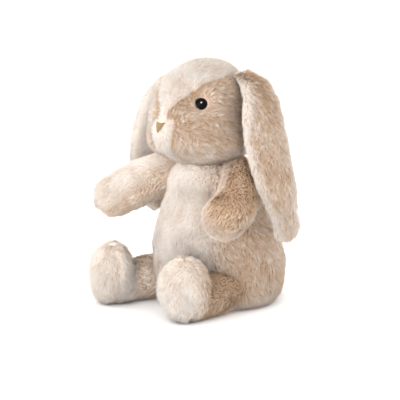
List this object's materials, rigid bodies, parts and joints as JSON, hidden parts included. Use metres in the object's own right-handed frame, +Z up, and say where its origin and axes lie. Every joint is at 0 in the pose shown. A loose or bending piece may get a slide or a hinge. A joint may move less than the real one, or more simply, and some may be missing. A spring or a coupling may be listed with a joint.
{
  "type": "stuffed rabbit toy",
  "caption": "Sitting plush rabbit with long hanging ears, domed eyes and a stitched nose, whose head, ears, arms and legs move at their seams.",
  "frame": {"origin": "on the floor, at the middle of the flat seat panel", "axes": "+Z up, the rabbit faces -Y, and its own left side is +X"},
  "size_m": [0.1824, 0.1889, 0.2378],
  "materials": {
    "plush_tan": "matte",
    "plush_cream": "matte",
    "ear_lining": "matte",
    "polyester_fibre": "matte",
    "embroidery_thread": "satin",
    "pellet_sack": "matte",
    "eye_gloss": "gloss",
    "washer_plastic": "satin"
  },
  "bodies": {
    "torso": {"body_base": "plush_tan", "body_front": "plush_cream", "body_side_left": "plush_tan", "body_side_right": "plush_tan", "body_stuffing": "polyester_fibre", "pellet_bag": "pellet_sack", "tail_cover": "plush_cream", "tail_stuffing": "polyester_fibre"},
    "neck": {"neck_stuffing": "polyester_fibre"},
    "head": {"head_crown": "plush_cream", "head_chin": "plush_cream", "head_cheek_left": "plush_tan", "head_cheek_right": "plush_tan", "head_stuffing": "polyester_fibre", "nose_stitching": "embroidery_thread", "eye_left": "eye_gloss", "eye_right": "eye_gloss", "eye_washer_left": "washer_plastic", "eye_washer_right": "washer_plastic"},
    "ear_left": {"ear_outer_left": "plush_tan", "ear_lining_left": "ear_lining"},
    "arm_left": {"arm_inner_left": "plush_cream", "arm_outer_left": "plush_tan", "arm_stuffing_left": "polyester_fibre"},
    "leg_left": {"sole_left": "plush_cream", "leg_outer_left": "plush_tan", "leg_inner_left": "plush_tan", "leg_stuffing_left": "polyester_fibre"},
    "ear_right": {"ear_outer_right": "plush_tan", "ear_lining_right": "ear_lining"},
    "arm_right": {"arm_inner_right": "plush_cream", "arm_outer_right": "plush_tan", "arm_stuffing_right": "polyester_fibre"},
    "leg_right": {"sole_right": "plush_cream", "leg_outer_right": "plush_tan", "leg_inner_right": "plush_tan", "leg_stuffing_right": "polyester_fibre"}
  },
  "joints": [
    {"name": "neck_turn", "type": "hinge", "parent": "torso", "child": "neck", "pos_m": [0, -0.013, 0.143], "axis": [0, 0, 1], "range_deg": [-5, 12]},
    {"name": "head_nod", "type": "hinge", "parent": "neck", "child": "head", "pos_m": [0, -0.013, 0.143], "axis": [1, 0, 0], "range_deg": [-8, 12]},
    {"name": "ear_left_lift", "type": "hinge", "parent": "head", "child": "ear_left", "pos_m": [0.03, 0.001, 0.226], "axis": [0.4528, -0.8554, -0.2516], "range_deg": [0, 100]},
    {"name": "ear_right_lift", "type": "hinge", "parent": "head", "child": "ear_right", "pos_m": [-0.03, -0.001, 0.225], "axis": [0.4528, 0.8554, 0.2516], "range_deg": [0, 100]},
    {"name": "arm_left_raise", "type": "hinge", "parent": "torso", "child": "arm_left", "pos_m": [0.038, -0.009, 0.134], "axis": [-0.7915, -0.6112, 0], "range_deg": [-8, 15]},
    {"name": "arm_right_raise", "type": "hinge", "parent": "torso", "child": "arm_right", "pos_m": [-0.038, -0.009, 0.134], "axis": [-0.9292, 0.3697, 0], "range_deg": [-40, 15]},
    {"name": "leg_left_raise", "type": "hinge", "parent": "torso", "child": "leg_left", "pos_m": [0.043, -0.02, 0.0235], "axis": [-1, 0, 0], "range_deg": [-30, 25]},
    {"name": "leg_right_raise", "type": "hinge", "parent": "torso", "child": "leg_right", "pos_m": [-0.043, -0.02, 0.025], "axis": [-1, 0, 0], "range_deg": [-30, 22]}
  ]
}
